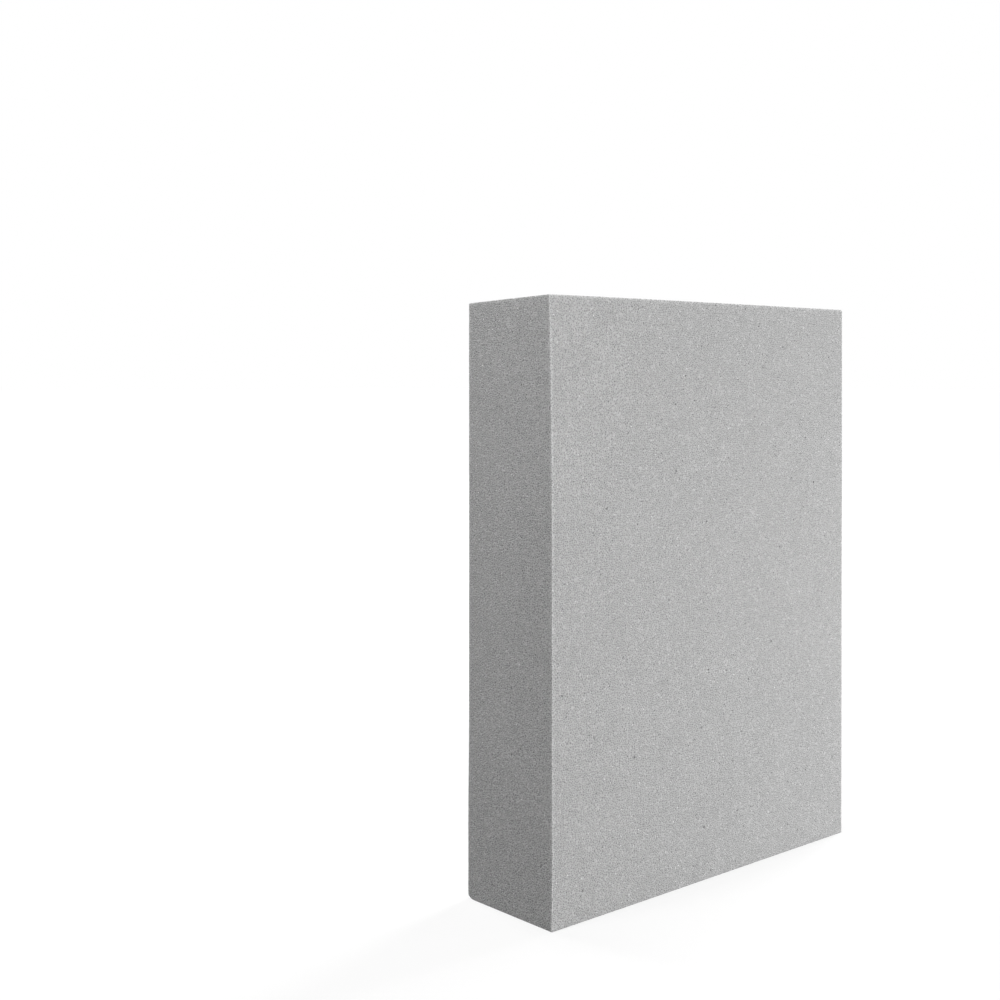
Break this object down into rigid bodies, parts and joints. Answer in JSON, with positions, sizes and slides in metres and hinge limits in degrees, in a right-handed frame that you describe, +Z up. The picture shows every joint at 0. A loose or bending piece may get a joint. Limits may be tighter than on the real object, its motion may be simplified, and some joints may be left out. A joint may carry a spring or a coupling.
{
  "type": "foam block",
  "caption": "Upright rectangular block of fine-celled grey foam with crisp saw-cut edges, a top cut slightly out of square and one lower corner rubbed round.",
  "frame": {"origin": "middle of the foot, the narrow end that the block stands on", "axes": "+Z up along the block's longest size, +Y through its thickness from the front broad face to the back one, +X across its width"},
  "size_m": [0.153, 0.041, 0.2],
  "materials": {
    "foam": "matt neutral grey, open fine cells on every saw-cut face"
  },
  "bodies": {
    "root": {"foam_block": "foam"}
  },
  "joints": []
}
